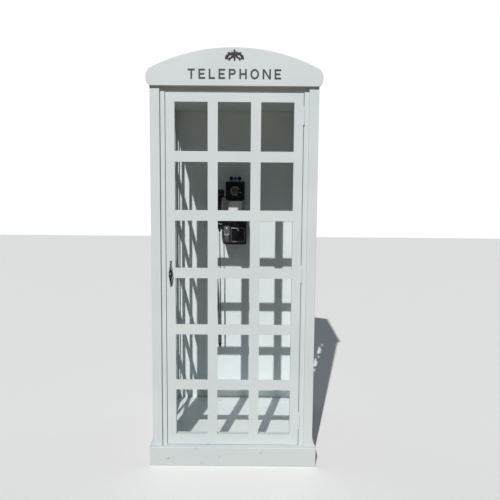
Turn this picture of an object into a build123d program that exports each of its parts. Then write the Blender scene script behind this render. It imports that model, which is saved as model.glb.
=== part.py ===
"""Arched-top telephone booth with a glazed door, glazed sides and a dial telephone inside.

Millimetres, +Z up.  The origin is the centre of the footprint on the ground, the door faces -Y.
"""
from build123d import *
from math import cos, pi, radians, sin, tan
import os

# ---------------------------------------------------------------- driving dimensions
body_half = 456.0            # half the width and depth over the corner posts
post_width = 52.0            # corner post, along X
post_depth = 48.0            # corner post, along Y
frame_top = 2101.0           # top of the corner posts
rail_height = 60.0           # head rail ring on top of the posts
joint_line = 0.2             # open line between two timbers that butt together
floor_top = 70.0
floor_thickness = 18.0
sill_top = 110.0             # top of the plinth and of the threshold

plinth_reach_x = 474.0       # plinth, half width
plinth_reach_y = 480.0       # plinth, half depth
plinth_round = 12.0
cove_top = 183.0             # where the side skirting meets the posts

pane_height = 264.0
pane_rows = 6
cross_bar = 58.0             # height of a horizontal glazing bar
top_pane_edge = 2048.0       # upper edge of the top row of panes
row_pitch = pane_height + cross_bar
lowest_pane_edge = top_pane_edge - pane_rows * pane_height - (pane_rows - 1) * cross_bar

door_half = 375.0
door_bottom = 112.0
door_top = 2098.0
door_front = -438.0
door_thickness = 30.0
stile = 50.0
upright = 55.0               # width of a vertical glazing bar of the door
door_bar_depth = 6.0         # glazing bars are strips laid on the sheet
sheet = 3.0                  # clear acrylic
rebate = 8.0                 # how far a sheet reaches under its frame
door_back = door_front + door_thickness
sight_half = door_half - stile
pane_width = (2 * sight_half - 2 * upright) / 3

jamb_gap = 3.0               # between the door's edge and the jamb
jamb_front = -441.0
jamb_back = -396.0
stop_reach = 14.0            # how far a door stop laps over the door
stop_clearance = 0.6

back_inner = 434.0           # inner face of the back panel
back_thickness = 12.0

side_inner = 420.0           # inner face of a side window frame
side_outer = 446.0
side_bar_depth = 11.0
side_stile = 50.0
side_upright = 50.0
side_span = body_half - post_depth      # half the clear depth between the posts

arch_radius = 1000.0
crown = 2327.0
arch_centre = crown - arch_radius
pediment_bottom = 2127.0
pediment_half = 457.0        # half width at the lower edge
cheek_half = 474.5           # half width at the widest place
cheek_height = 2173.0
shoulder_half = 455.0
shoulder_round = 12.0
pediment_front = -474.0
roof_skin = 6.0
roof_set_down = 6.0          # roof skin below the pediment's edge

letter_height = 52.0
letter_stroke = 8.8
letter_gap = 19.4
letter_base = 2163.0

hinge_heights = (258.0, 1108.0, 1976.0)
hinge_length = 90.0
hinge_axis_x = 376.5
hinge_axis_y = -446.3
knuckle_radius = 4.8
pin_radius = 2.45
pin_bore = 2.5
hinge_plate_gap = 0.3        # from the pin's axis to either hinge plate

handle_x = -350.0
handle_z = 1107.0
handle_axis_y = -464.0
handle_half = 58.0

phone_x = -13.0              # centre line of the telephone
plate_front = 428.0          # front face of the telephone's mounting plate
shell = 3.0                  # wall of the telephone's housings
upper_half, upper_bottom, upper_top, upper_front = 64.5, 1496.0, 1621.0, 306.0
lower_half, lower_bottom, lower_top, lower_front = 79.0, 1196.5, 1405.5, 292.0
neck_half, neck_front = 46.0, 313.0
dial_z = 1558.0
wheel_radius = 36.0
finger_radius = 27.0         # circle of the finger holes
finger_hole = 5.4
finger_holes = 10
first_hole, hole_step = 30.0, 30.0      # degrees, counter-clockwise from the right
spindle_radius, spindle_play = 4.0, 0.05
vault_x, vault_z = 6.3, 1262.5
vault_half_x, vault_half_z = 48.3, 49.5
chute_x, chute_z = -68.25, 1265.0
chute_half_x, chute_half_z = 19.2, 58.0
handset_y = 314.0
handset_grip_x = -120.0
ear_z, ear_radius = 1543.0, 27.0
mouth_z, mouth_radius = 1325.0, 29.0

cord_diameter = 12.0

os.makedirs("parts", exist_ok=True)


# ---------------------------------------------------------------- helpers
def block(x_range, y_range, z_range, mode=Mode.ADD):
    """A box between two corners, added to or cut from the part being built."""
    spans = [sorted(pair) for pair in (x_range, y_range, z_range)]
    centre = [(low + high) / 2 for low, high in spans]
    with Locations(tuple(centre)):
        Box(*[high - low for low, high in spans], mode=mode)


def rod(centre, radius, length, direction, mode=Mode.ADD):
    """A cylinder centred on a point, along X, Y or Z."""
    turn = {"X": (0, 90, 0), "Y": (90, 0, 0), "Z": (0, 0, 0)}[direction]
    with Locations(Location(centre, turn)):
        Cylinder(radius, length, mode=mode)


def write(piece, name):
    piece.part.label = name
    export_step(piece.part, f"parts/{name}.step")


def row_bars():
    """Lower and upper height of each horizontal glazing bar, from the top down."""
    for row in range(1, pane_rows):
        top = top_pane_edge - row * row_pitch + cross_bar
        yield top - cross_bar, top


# ---------------------------------------------------------------- base
with BuildPart() as plinth_boards:
    with BuildSketch(Plane.XZ.offset(body_half)):
        with Locations((0, sill_top / 2)):
            Rectangle(2 * plinth_reach_x, sill_top)
        fillet(vertices().group_by(Axis.Y)[0], plinth_round)
    extrude(amount=plinth_reach_y - body_half)
    chamfer(faces().sort_by(Axis.Z)[-1].edges(), 2)
    mirror(about=Plane.XZ)
write(plinth_boards, "plinth_boards")

with BuildPart() as plinth_sides:
    with BuildSketch(Plane.XZ):
        with BuildLine():
            Polyline((body_half, cove_top), (body_half, 0), (plinth_reach_x, 0), (plinth_reach_x, sill_top))
            ThreePointArc((plinth_reach_x, sill_top), (body_half + 5.5, 138), (body_half, cove_top))
        make_face()
        fillet(vertices().group_by(Axis.Y)[0].sort_by(Axis.X)[-1], plinth_round)
    extrude(amount=body_half, both=True)
    mirror(about=Plane.YZ)
write(plinth_sides, "plinth_sides")

bearer_height = floor_top - floor_thickness
bearer_width = 45.0
post_inner = body_half - post_width
with BuildPart() as floor_bearers:
    for y in (-360.0, 0.0, 360.0):
        block((-post_inner, post_inner), (y - bearer_width / 2, y + bearer_width / 2), (0, bearer_height))
write(floor_bearers, "floor_bearers")

with BuildPart() as floor_panel:
    block((-side_inner, side_inner), (jamb_back, back_inner), (bearer_height, floor_top))
    for side in (-1, 1):
        block((side * post_inner, side * side_inner), (side_span, back_inner), (bearer_height, floor_top),
              Mode.SUBTRACT)
write(floor_panel, "floor_panel")

with BuildPart() as threshold:
    block((-post_inner, post_inner), (-body_half, jamb_back), (0, sill_top))
write(threshold, "threshold")


# ---------------------------------------------------------------- body frame
with BuildPart() as corner_posts:
    for side_x in (-1, 1):
        for side_y in (-1, 1):
            block((side_x * post_inner, side_x * body_half), (side_y * side_span, side_y * body_half),
                  (0, frame_top))
    chamfer(edges().filter_by(Axis.Z), 1.5)
write(corner_posts, "corner_posts")

jamb_x = door_half + jamb_gap
for side, name in ((-1, "strike_jamb"), (1, "hinge_jamb")):
    with BuildPart() as jamb:
        block((side * jamb_x, side * post_inner), (jamb_front, jamb_back), (sill_top, frame_top))
    write(jamb, name)

stop_front = door_back + stop_clearance
stop_inner = jamb_x - stop_reach
with BuildPart() as door_stops:
    for side in (-1, 1):
        block((side * stop_inner, side * jamb_x), (stop_front, jamb_back), (sill_top, frame_top))
    block((-stop_inner + joint_line, stop_inner - joint_line), (stop_front, jamb_back),
          (frame_top - stop_reach, frame_top))
write(door_stops, "door_stops")

rail_top = frame_top + rail_height
with BuildPart() as head_rails:
    for side in (-1, 1):
        block((-body_half, body_half), (side * side_span, side * body_half), (frame_top, rail_top))
        block((side * side_span, side * body_half), (-side_span + joint_line, side_span - joint_line),
              (frame_top, rail_top))
    block((-post_inner, post_inner), (-body_half, jamb_front), (frame_top, pediment_bottom), Mode.SUBTRACT)
    for side in (-1, 1):
        for end in (-1, 1):
            block((side * post_inner, side * body_half), (end * side_span, end * body_half),
                  (frame_top, frame_top + joint_line), Mode.SUBTRACT)
write(head_rails, "head_rails")

with BuildPart() as back_panel:
    block((-post_inner, post_inner), (back_inner, back_inner + back_thickness), (bearer_height, frame_top))
write(back_panel, "back_panel")

with BuildPart() as ceiling_panel:
    block((-side_span, side_span), (-side_span, side_span), (frame_top, frame_top + 9))
write(ceiling_panel, "ceiling_panel")


# ---------------------------------------------------------------- side windows
side_sight = side_span - side_stile
side_pane = (2 * side_sight - 2 * side_upright) / 3
side_sheet_outer = side_outer - side_bar_depth
side_bottom = bearer_height


with BuildPart() as side_frames:
    for side in (-1, 1):
        deep = (side * side_inner, side * side_outer)
        for end in (-1, 1):
            block(deep, (end * side_sight, end * side_span), (side_bottom, frame_top))
        for low, high in ((top_pane_edge, frame_top), (side_bottom, lowest_pane_edge)):
            block(deep, (-side_sight + joint_line, side_sight - joint_line), (low, high))
        block((side * side_inner, side * side_sheet_outer), (-side_sight - rebate, side_sight + rebate),
              (lowest_pane_edge - rebate, top_pane_edge + rebate), Mode.SUBTRACT)
write(side_frames, "side_frames")

side_half_lap = side_outer - side_bar_depth / 2
with BuildPart() as side_uprights:
    for side in (-1, 1):
        for end in (-1, 1):
            near = end * side_pane / 2
            block((side * side_sheet_outer, side * side_outer), (near, near + end * side_upright),
                  (lowest_pane_edge, top_pane_edge))
        for low, high in row_bars():
            block((side * side_sheet_outer, side * side_half_lap), (-side_sight, side_sight), (low, high),
                  Mode.SUBTRACT)
write(side_uprights, "side_uprights")

with BuildPart() as side_crossbars:
    for side in (-1, 1):
        for low, high in row_bars():
            block((side * side_sheet_outer, side * side_outer), (-side_sight, side_sight), (low, high))
        for end in (-1, 1):
            near = end * side_pane / 2
            block((side * side_half_lap, side * side_outer), (near, near + end * side_upright),
                  (lowest_pane_edge, top_pane_edge), Mode.SUBTRACT)
write(side_crossbars, "side_crossbars")

sheet_fit = 0.5
side_sheet_inner = side_sheet_outer - sheet
side_sheet_half = side_sight + rebate - sheet_fit
with BuildPart() as side_glazing:
    for side in (-1, 1):
        block((side * side_sheet_inner, side * side_sheet_outer), (-side_sheet_half, side_sheet_half),
              (lowest_pane_edge - rebate + sheet_fit, top_pane_edge + rebate - sheet_fit))
write(side_glazing, "side_glazing")

with BuildPart() as side_beads:
    for side in (-1, 1):
        deep = (side * side_inner, side * side_sheet_inner)
        for end in (-1, 1):
            block(deep, (end * side_sight, end * (side_sight + rebate)),
                  (lowest_pane_edge - rebate, top_pane_edge + rebate))
        bead_half = side_sight - joint_line
        block(deep, (-bead_half, bead_half), (top_pane_edge, top_pane_edge + rebate))
        block(deep, (-bead_half, bead_half), (lowest_pane_edge - rebate, lowest_pane_edge))
write(side_beads, "side_beads")


# ---------------------------------------------------------------- roof
# Flat lower edge, bulging cheeks and a segmental arch.
shoulder_height = arch_centre + (arch_radius ** 2 - shoulder_half ** 2) ** 0.5
with BuildSketch() as pediment_outline:
    with BuildLine():
        Line((-pediment_half, pediment_bottom), (pediment_half, pediment_bottom))
        for side in (-1, 1):
            ThreePointArc((side * pediment_half, pediment_bottom), (side * cheek_half, cheek_height),
                          (side * shoulder_half, shoulder_height))
        ThreePointArc((-shoulder_half, shoulder_height), (0, crown), (shoulder_half, shoulder_height))
    make_face()
    fillet(vertices().group_by(Axis.Y)[-1], shoulder_round)

board_thickness = -body_half - pediment_front
for side, name in ((-1, "pediment_front"), (1, "pediment_back")):
    with BuildPart() as pediment:
        with BuildSketch(Plane.XZ.offset(-side * body_half)):
            add(pediment_outline.sketch)
        extrude(amount=-side * board_thickness)
        chamfer(faces().sort_by(Axis.Y)[0 if side < 0 else -1].edges(), 1.5)
    write(pediment, name)

skin_outer = arch_radius - roof_set_down
skin_inner = skin_outer - roof_skin
fascia_inner = 438.0
with BuildPart() as roof_fascias:
    with BuildSketch(Plane.XZ):
        with BuildLine():
            Polyline((body_half, pediment_bottom), (body_half, rail_top), (fascia_inner, rail_top),
                     (fascia_inner, crown), (shoulder_half - 2, crown), (shoulder_half - 2, 2210))
            ThreePointArc((shoulder_half - 2, 2210), (cheek_half - 2, cheek_height),
                          (body_half, pediment_bottom))
        make_face()
        with Locations((0, arch_centre)):
            Circle(skin_inner, mode=Mode.INTERSECT)
    extrude(amount=body_half, both=True)
    mirror(about=Plane.YZ)
write(roof_fascias, "roof_fascias")

with BuildPart() as roof_sheet:
    with BuildSketch(Plane.XZ):
        with Locations((0, arch_centre)):
            Circle(skin_outer)
            Circle(skin_inner, mode=Mode.SUBTRACT)
        with Locations((0, crown)):
            Rectangle(2 * (shoulder_half - 3), 2 * (crown - rail_top), mode=Mode.INTERSECT)
    extrude(amount=body_half, both=True)
write(roof_sheet, "roof_sheet")

rib_depth = 60.0
rib_thickness = 18.0
with BuildPart() as roof_ribs:
    for y in (-150.0, 150.0):
        with BuildSketch(Plane.XZ.offset(-y)):
            with Locations((0, arch_centre)):
                Circle(skin_inner)
                Circle(skin_inner - rib_depth, mode=Mode.SUBTRACT)
            with Locations((0, rail_top + 200)):
                Rectangle(2 * fascia_inner, 400, mode=Mode.INTERSECT)
        extrude(amount=rib_thickness / 2, both=True)
write(roof_ribs, "roof_ribs")


# ---------------------------------------------------------------- pediment trim
def bar(x_low, x_high, z_low, z_high):
    with Locations(((x_low + x_high) / 2, (z_low + z_high) / 2)):
        Rectangle(x_high - x_low, z_high - z_low)


def letter(shape, left, width):
    """One plain block capital, in strokes of one width, standing on letter_base."""
    low, high = letter_base, letter_base + letter_height
    right, middle, stroke = left + width, letter_base + letter_height / 2, letter_stroke
    if shape in "ELPHN":
        bar(left, left + stroke, low, high)
    if shape in "HN":
        bar(right - stroke, right, low, high)
    if shape in "ELT":
        edge = high if shape == "T" else low + stroke
        bar(left, right, edge - stroke, edge)
    if shape == "E":
        bar(left, right, high - stroke, high)
        bar(left, right - 0.12 * width, middle - stroke / 2, middle + stroke / 2)
    if shape == "H":
        bar(left, right, middle - stroke / 2, middle + stroke / 2)
    if shape == "T":
        bar((left + right - stroke) / 2, (left + right + stroke) / 2, low, high)
    if shape == "N":
        Polygon((left, high), (left + 1.1 * stroke, high), (right, low), (right - 1.1 * stroke, low),
                align=None)
    if shape == "P":
        bowl = (letter_height / 2 + stroke / 2) / 2
        bar(left, right - bowl, high - stroke, high)
        bar(left, right - bowl, high - 2 * bowl, high - 2 * bowl + stroke)
        with Locations((right - bowl, high - bowl)):
            Circle(bowl)
            Circle(bowl - stroke, mode=Mode.SUBTRACT)
        with Locations(((left + stroke + right - bowl) / 2, high - bowl)):
            Rectangle(right - bowl - left - stroke, 2 * (bowl - stroke), mode=Mode.SUBTRACT)
    if shape == "O":
        with Locations(((left + right) / 2, middle)):
            Ellipse(width / 2, letter_height / 2 + 0.5)
            Ellipse(width / 2 - stroke, letter_height / 2 - stroke + 0.5, mode=Mode.SUBTRACT)


letter_widths = {"T": 38.0, "E": 35.0, "L": 33.0, "P": 37.0, "H": 39.0, "O": 46.0, "N": 44.0}
letter_raise = 2.0
word = "TELEPHONE"
letter_left = -(sum(letter_widths[shape] for shape in word) + letter_gap * (len(word) - 1)) / 2
with BuildPart() as pediment_letters:
    for shape in word:
        with BuildSketch(Plane.XZ.offset(-pediment_front)):
            letter(shape, letter_left, letter_widths[shape])
        extrude(amount=letter_raise)
        letter_left += letter_widths[shape] + letter_gap
write(pediment_letters, "pediment_letters")

ornament_z = 2285.0
ornament_raise = 4.0
ornament_leaves = (          # x, height above the middle, half width, half length, lean from upright
    (0, 17, 6, 14, 0), (0, -14, 5.5, 13, 0), (10, 9, 5, 12, 30), (24, 9, 5.6, 13, 66),
    (37, -1, 5.8, 12, 118), (45, -12, 5.4, 8, 165), (14, -8, 4.6, 11, 125), (27, -18, 5.2, 8, 150))
with BuildPart() as pediment_ornament:
    with BuildSketch(Plane.XZ.offset(-pediment_front)):
        for side in (-1, 1):
            for x, height, half_width, half_length, lean in ornament_leaves:
                with Locations(Location((side * x, ornament_z + height), -side * lean)):
                    Ellipse(half_width, half_length)
            with Locations((side * 37, ornament_z - 15)):
                Circle(4)
        with Locations((0, ornament_z + 2)):
            Circle(6)
    extrude(amount=ornament_raise)
write(pediment_ornament, "pediment_ornament")


# ---------------------------------------------------------------- door
sheet_back = door_front + door_bar_depth + sheet
door_sheet_front = door_front + door_bar_depth


def door_rebate():
    block((-sight_half - rebate, sight_half + rebate), (door_sheet_front, door_back),
          (lowest_pane_edge - rebate, top_pane_edge + rebate), Mode.SUBTRACT)


with BuildPart() as door_stiles:
    for side in (-1, 1):
        block((side * sight_half, side * door_half), (door_front, door_back), (door_bottom, door_top))
    door_rebate()
write(door_stiles, "door_stiles")

with BuildPart() as door_rails:
    for low, high in ((top_pane_edge, door_top), (door_bottom, lowest_pane_edge)):
        block((-sight_half, sight_half), (door_front, door_back), (low, high))
    door_rebate()
write(door_rails, "door_rails")

half_lap = door_front + door_bar_depth / 2
with BuildPart() as door_uprights:
    for side in (-1, 1):
        near = side * pane_width / 2
        block((near, near + side * upright), (door_front, door_sheet_front),
              (lowest_pane_edge, top_pane_edge))
    for low, high in row_bars():
        block((-sight_half, sight_half), (half_lap, door_sheet_front), (low, high), Mode.SUBTRACT)
write(door_uprights, "door_uprights")

with BuildPart() as door_crossbars:
    for low, high in row_bars():
        block((-sight_half, sight_half), (door_front, door_sheet_front), (low, high))
    for side in (-1, 1):
        near = side * pane_width / 2
        block((near, near + side * upright), (door_front, half_lap), (lowest_pane_edge, top_pane_edge),
              Mode.SUBTRACT)
write(door_crossbars, "door_crossbars")

with BuildPart() as door_glazing:
    reach = sight_half + rebate - sheet_fit
    block((-reach, reach), (door_sheet_front, sheet_back),
          (lowest_pane_edge - rebate + sheet_fit, top_pane_edge + rebate - sheet_fit))
write(door_glazing, "door_glazing")

with BuildPart() as door_beads:
    for side in (-1, 1):
        block((side * sight_half, side * (sight_half + rebate)), (sheet_back, door_back),
              (lowest_pane_edge - rebate, top_pane_edge + rebate))
    for low in (lowest_pane_edge - rebate, top_pane_edge):
        block((-sight_half + joint_line, sight_half - joint_line), (sheet_back, door_back),
              (low, low + rebate))
write(door_beads, "door_beads")


# ---------------------------------------------------------------- hinges
knuckle_count = 5
knuckle_play = 0.4
plate_back = -411.0
screw_offsets = (-30.0, 0.0, 30.0)
screw_line = -423.0
screw_head_radius = 3.2
screw_shank_radius = 1.8
screw_length = 20.0
head_fit = 0.05
other_knuckle_clearance = 0.4


def hinge_leaf(side, first_knuckle):
    """Three hinge leaves.  side is +1 on the jamb and -1 on the door."""
    edge = jamb_x if side > 0 else door_half
    pitch = hinge_length / knuckle_count
    with BuildPart() as leaf:
        for middle in hinge_heights:
            base = middle - hinge_length / 2
            block((hinge_axis_x + side * hinge_plate_gap, edge), (hinge_axis_y, plate_back),
                  (base, base + hinge_length))
            for index in range(knuckle_count):
                centre = (hinge_axis_x, hinge_axis_y, base + (index + 0.5) * pitch)
                if index % 2 != first_knuckle:
                    rod(centre, knuckle_radius + other_knuckle_clearance, pitch, "Z", Mode.SUBTRACT)
            for index in range(first_knuckle, knuckle_count, 2):
                centre = (hinge_axis_x, hinge_axis_y, base + (index + 0.5) * pitch)
                rod(centre, knuckle_radius, pitch - knuckle_play, "Z")
            rod((hinge_axis_x, hinge_axis_y, middle), pin_bore, hinge_length + 2, "Z", Mode.SUBTRACT)
            for offset in screw_offsets:
                rod((edge, screw_line, middle + offset), screw_head_radius + head_fit, 8, "X", Mode.SUBTRACT)
    return leaf


write(hinge_leaf(1, 0), "hinge_frame_leaves")
write(hinge_leaf(-1, 1), "hinge_door_leaves")

tip = 3.0
with BuildPart() as hinge_pins:
    for middle in hinge_heights:
        rod((hinge_axis_x, hinge_axis_y, middle), pin_radius, hinge_length, "Z")
        for end in (-1, 1):
            centre = (hinge_axis_x, hinge_axis_y, middle + end * (hinge_length + tip) / 2)
            rod(centre, knuckle_radius - 0.6, tip, "Z")
write(hinge_pins, "hinge_pins")


# ---------------------------------------------------------------- pull handle and catch
foot_drop = 66.0
foot_thickness = 4.0
foot_front = door_front - foot_thickness
with BuildPart() as pull_handle:
    with BuildSketch(Plane.YZ.offset(handle_x)):
        with BuildLine():
            Spline((handle_axis_y - 3.5, handle_z - handle_half), (handle_axis_y - 4.5, handle_z - 42),
                   (handle_axis_y - 11, handle_z - 6), (handle_axis_y - 4.5, handle_z + 42),
                   (handle_axis_y - 3.5, handle_z + handle_half))
            Polyline((handle_axis_y - 3.5, handle_z + handle_half), (handle_axis_y, handle_z + handle_half),
                     (handle_axis_y, handle_z - handle_half), (handle_axis_y - 3.5, handle_z - handle_half))
        make_face()
    revolve(axis=Axis((handle_x, handle_axis_y, handle_z), (0, 0, 1)))
    for end in (-1, 1):
        tip_z = handle_z + end * handle_half
        rod((handle_x, (handle_axis_y + foot_front) / 2, tip_z), 3.5, foot_front - handle_axis_y, "Y")
        with Locations((handle_x, handle_axis_y, tip_z)):
            Sphere(4.2)
        with BuildSketch(Plane.XZ.offset(-door_front)):
            with Locations((handle_x, handle_z + end * (handle_half + foot_drop) / 2)):
                SlotOverall(foot_drop - handle_half + 14, 12, rotation=90)
            with Locations((handle_x, handle_z + end * foot_drop)):
                Circle(2.2, mode=Mode.SUBTRACT)
        extrude(amount=foot_thickness)
write(pull_handle, "pull_handle")

catch_z = 1107.0
with BuildPart() as catch_magnet:
    block((-stop_inner, -stop_inner + 18), (-406, -390), (catch_z - 22, catch_z + 22))
    fillet(edges().filter_by(Axis.Z).sort_by(Axis.X)[-2:], 2)
write(catch_magnet, "catch_magnet")

with BuildPart() as catch_plate:
    block((-stop_inner + 1, -stop_inner + 17), (door_back, door_back + 1.5), (catch_z - 20, catch_z + 20))
write(catch_plate, "catch_plate")

plate_thickness = 6.0
plate_screws = ((phone_x - 32, 1220.0), (phone_x + 32, 1220.0),
                (phone_x - 32, 1590.0), (phone_x + 32, 1590.0))
plate_screw_head = 3.0
with BuildPart() as frame_screws:
    for middle in hinge_heights:
        for offset in screw_offsets:
            rod(((jamb_x + hinge_axis_x + hinge_plate_gap) / 2, screw_line, middle + offset),
                screw_head_radius, jamb_x - hinge_axis_x - hinge_plate_gap, "X")
            rod((jamb_x + screw_length / 2, screw_line, middle + offset), screw_shank_radius,
                screw_length, "X")
    for x, z in plate_screws:
        rod((x, plate_front - plate_screw_head / 2, z), 5, plate_screw_head, "Y")
        rod((x, plate_front + plate_thickness + 4, z), 2.4, 2 * plate_thickness + 8, "Y")
write(frame_screws, "frame_screws")

with BuildPart() as door_screws:
    for middle in hinge_heights:
        for offset in screw_offsets:
            rod(((door_half + hinge_axis_x - hinge_plate_gap) / 2, screw_line, middle + offset),
                screw_head_radius, hinge_axis_x - hinge_plate_gap - door_half, "X")
            rod((door_half - screw_length / 2, screw_line, middle + offset), screw_shank_radius,
                screw_length, "X")
    for end in (-1, 1):
        z = handle_z + end * foot_drop
        rod((handle_x, foot_front - 1.2, z), 4, 2.4, "Y")
        rod((handle_x, foot_front + 10, z), screw_shank_radius, screw_length, "Y")
write(door_screws, "door_screws")


# ---------------------------------------------------------------- telephone housings
with BuildPart() as phone_backplate:
    block((phone_x - neck_half, phone_x + neck_half), (plate_front, back_inner),
          (lower_bottom + 6, upper_top - 6))
    for x, z in plate_screws:
        rod((x, plate_front + 3, z), 2.6, 20, "Y", Mode.SUBTRACT)
write(phone_backplate, "phone_backplate")


def housing(half, bottom, top, front, corner):
    """Box open at the back, with rounded corners and a softened front edge."""
    with BuildPart() as case:
        with BuildSketch(Plane.XZ.offset(-plate_front)):
            with Locations((phone_x, (bottom + top) / 2)):
                RectangleRounded(2 * half, top - bottom, corner)
        extrude(amount=plate_front - front)
        fillet(faces().sort_by(Axis.Y)[0].edges(), 4)
        with BuildSketch(Plane.XZ.offset(-plate_front)):
            with Locations((phone_x, (bottom + top) / 2)):
                RectangleRounded(2 * (half - shell), top - bottom - 2 * shell, corner - shell)
        extrude(amount=plate_front - front - shell, mode=Mode.SUBTRACT)
    return case


hook_y = handset_y
hook_z = 1517.5
upper_case = housing(upper_half, upper_bottom, upper_top, upper_front, 6)
with BuildPart() as upper_housing:
    add(upper_case.part)
    block((phone_x - upper_half - 1, phone_x - upper_half + shell + 3), (hook_y + 4, hook_y + 16),
          (hook_z - 5, hook_z + 9), Mode.SUBTRACT)
    rod((phone_x, upper_front, dial_z), 4.6, 10, "Y", Mode.SUBTRACT)
write(upper_housing, "upper_housing")

with BuildPart() as card_housing:
    block((phone_x - neck_half, phone_x + neck_half), (neck_front, plate_front), (lower_top, upper_bottom))
    fillet(edges().filter_by(Axis.Z).group_by(Axis.Y)[0], 0.8)
write(card_housing, "card_housing")

with BuildPart() as instruction_card:
    block((phone_x - neck_half + 1, phone_x + neck_half - 1), (neck_front - 1, neck_front),
          (lower_top + 10, upper_bottom - 6))
write(instruction_card, "instruction_card")

box_clearance = 1.0
box_half_x, box_half_z = vault_half_x - 6, vault_half_z - 6
pocket_half_x, pocket_low, pocket_high, pocket_depth = 15.75, 1216.0, 1262.0, 42.0
lower_case = housing(lower_half, lower_bottom, lower_top, lower_front, 16)
with BuildPart() as lower_housing:
    add(lower_case.part)
    block((vault_x - box_half_x - box_clearance, vault_x + box_half_x + box_clearance),
          (lower_front - 5, lower_front + 5),
          (vault_z - box_half_z - box_clearance, vault_z + box_half_z + box_clearance), Mode.SUBTRACT)
    block((chute_x - pocket_half_x - 0.5, chute_x + pocket_half_x + 0.5), (lower_front - 5, lower_front + 5),
          (pocket_low - 0.5, pocket_high + 0.5), Mode.SUBTRACT)
write(lower_housing, "lower_housing")

gauge_y = 338.0
gauge_thickness = 16.0
gauge_link = 6.0
gauge_rings = ((-28.0, 12.5, 1643.0), (0.0, 7.5, 1642.0), (28.0, 12.5, 1643.0))   # x, radius, height
with BuildPart() as coin_gauge:
    with BuildSketch(Plane.XZ.offset(-gauge_y)):
        for x, radius, height in gauge_rings:
            with Locations((phone_x + x, height)):
                Circle(radius)
            with Locations((phone_x + x, (upper_top + height) / 2)):
                Rectangle(0.3 * radius, height - upper_top)
        with Locations((phone_x, gauge_rings[0][2])):
            Rectangle(2 * gauge_rings[-1][0], gauge_link)
    extrude(amount=gauge_thickness / 2, both=True)
    for x, radius, height in gauge_rings:
        rod((phone_x + x, gauge_y - gauge_thickness / 2, height), 0.6 * radius, 6, "Y", Mode.SUBTRACT)
write(coin_gauge, "coin_gauge")


# ---------------------------------------------------------------- dial
bezel_front = 298.0
wheel_back, wheel_front = 300.0, 297.5
recess_floor = 303.0
with BuildPart() as dial_bezel:
    rod((phone_x, (bezel_front + upper_front) / 2, dial_z), wheel_radius + 6, upper_front - bezel_front, "Y")
    rod((phone_x, (bezel_front + recess_floor) / 2, dial_z), wheel_radius + 0.6,
        recess_floor - bezel_front, "Y", Mode.SUBTRACT)
    rod((phone_x, upper_front, dial_z), spindle_radius + spindle_play, 30, "Y", Mode.SUBTRACT)
    chamfer(faces().sort_by(Axis.Y)[0].edges().sort_by(SortBy.RADIUS)[-1], 1.5)
write(dial_bezel, "dial_bezel")

with BuildPart() as number_plate:
    rod((phone_x, recess_floor - 0.5, dial_z), wheel_radius, 1, "Y")
    rod((phone_x, recess_floor - 0.5, dial_z), spindle_radius + spindle_play, 4, "Y", Mode.SUBTRACT)
write(number_plate, "number_plate")

spindle_end = upper_front + 12
with BuildPart() as finger_wheel:
    rod((phone_x, (wheel_front + wheel_back) / 2, dial_z), wheel_radius, wheel_back - wheel_front, "Y")
    for index in range(finger_holes):
        angle = radians(first_hole + index * hole_step)
        rod((phone_x + finger_radius * cos(angle), wheel_front, dial_z + finger_radius * sin(angle)),
            finger_hole, 12, "Y", Mode.SUBTRACT)
    rod((phone_x, (wheel_back + spindle_end) / 2, dial_z), spindle_radius, spindle_end - wheel_back, "Y")
write(finger_wheel, "finger_wheel")

with BuildPart() as dial_cap:
    rod((phone_x, wheel_front - 1.5, dial_z), 12, 3, "Y")
    fillet(faces().sort_by(Axis.Y)[0].edges(), 1.2)
write(dial_cap, "dial_cap")

stop_degrees = -15.7          # in the gap between the last hole and the first
stop_angle = radians(stop_degrees)
stop_middle, stop_foot = 33.5, 39.1     # out from the spindle
with BuildPart() as finger_stop:
    with BuildSketch(Plane.XZ.offset(-(wheel_front - 0.6))):
        with Locations(Location((phone_x + stop_middle * cos(stop_angle), dial_z + stop_middle * sin(stop_angle)),
                                stop_degrees)):
            SlotOverall(19, 4)
    extrude(amount=1.6)
    rod((phone_x + stop_foot * cos(stop_angle), (wheel_front - 1.4 + bezel_front) / 2,
         dial_z + stop_foot * sin(stop_angle)), 1.9, bezel_front - wheel_front + 1.4, "Y")
write(finger_stop, "finger_stop")


# ---------------------------------------------------------------- coin vault and coin return
door_plate_back = lower_front - 0.5
door_plate_front = door_plate_back - 4
lock_x, lock_z = phone_x + 21, 1296.0
with BuildPart() as vault_door:
    block((vault_x - vault_half_x, vault_x + vault_half_x), (door_plate_front, door_plate_back),
          (vault_z - vault_half_z, vault_z + vault_half_z))
    fillet(edges().filter_by(Axis.Y), 4)
    fillet(faces().sort_by(Axis.Y)[0].edges(), 1)
    rod((lock_x, door_plate_front, lock_z), 5.05, 20, "Y", Mode.SUBTRACT)
write(vault_door, "vault_door")

box_back = 410.0
box_wall = 2.0
with BuildPart() as cash_box:
    block((vault_x - box_half_x, vault_x + box_half_x), (door_plate_back, box_back),
          (vault_z - box_half_z, vault_z + box_half_z - 14))
    block((vault_x - box_half_x + box_wall, vault_x + box_half_x - box_wall),
          (door_plate_back + box_wall, box_back - box_wall),
          (vault_z - box_half_z + box_wall, vault_z + box_half_z), Mode.SUBTRACT)
write(cash_box, "cash_box")

with BuildPart() as vault_lock:
    rod((lock_x, door_plate_front - 1.9, lock_z), 6.5, 3, "Y")
    rod((lock_x, door_plate_front + 1.2, lock_z), 5, 5, "Y")
    block((lock_x - 0.8, lock_x + 0.8), (door_plate_front - 6, door_plate_front - 1.8), (lock_z - 3, lock_z + 3),
          Mode.SUBTRACT)
write(vault_lock, "vault_lock")

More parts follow.
